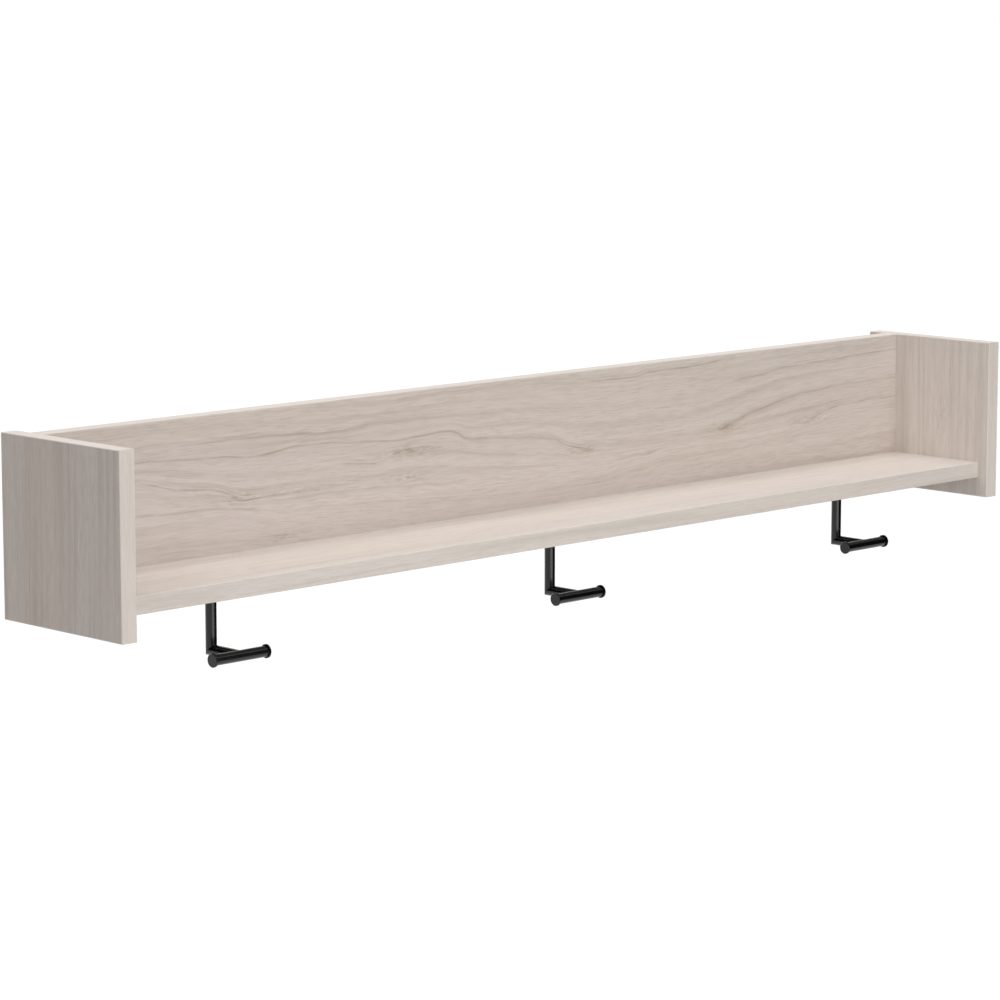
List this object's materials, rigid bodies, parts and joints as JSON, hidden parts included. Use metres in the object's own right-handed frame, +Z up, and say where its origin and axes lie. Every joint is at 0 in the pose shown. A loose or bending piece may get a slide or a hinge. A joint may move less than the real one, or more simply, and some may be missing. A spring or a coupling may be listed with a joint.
{
  "type": "wall coat rack with shelf",
  "caption": "Wall-hung coat rack: an open shelf between two end panels with a raised back panel, and black double-ended rod hooks below the shelf.",
  "frame": {"origin": "middle of the row of wall screws, on the wall plane", "axes": "+X along the rack to the right as seen from the room, +Y into the wall, +Z up"},
  "size_m": [1.165, 0.16, 0.2057],
  "materials": {
    "wood_decor": "greyed ash decor, matt, on 16 mm board",
    "edge_band": "pale matching edge band, 1 mm",
    "rail_wood": "planed spruce, bare",
    "hook_black": "satin black powder coat",
    "dowel_beech": "beech, bare"
  },
  "bodies": {
    "root": {"left_end_panel": "wood_decor", "left_end_front_band": "edge_band", "left_end_top_band": "edge_band", "left_end_bottom_band": "edge_band", "right_end_panel": "wood_decor", "right_end_front_band": "edge_band", "right_end_top_band": "edge_band", "right_end_bottom_band": "edge_band", "back_panel": "wood_decor", "shelf_board": "wood_decor", "shelf_front_band": "edge_band", "back_top_band": "edge_band", "back_bottom_band": "edge_band", "wall_rail": "rail_wood", "hanging_rail": "rail_wood", "left_hook_plate": "hook_black", "left_hook_stem": "hook_black", "left_hook_arm": "hook_black", "left_hook_crossbar": "hook_black", "left_hook_left_cap": "hook_black", "left_hook_right_cap": "hook_black", "centre_hook_plate": "hook_black", "centre_hook_stem": "hook_black", "centre_hook_arm": "hook_black", "centre_hook_crossbar": "hook_black", "centre_hook_left_cap": "hook_black", "centre_hook_right_cap": "hook_black", "right_hook_plate": "hook_black", "right_hook_stem": "hook_black", "right_hook_arm": "hook_black", "right_hook_crossbar": "hook_black", "right_hook_left_cap": "hook_black", "right_hook_right_cap": "hook_black", "end_dowels": "dowel_beech"}
  },
  "joints": []
}
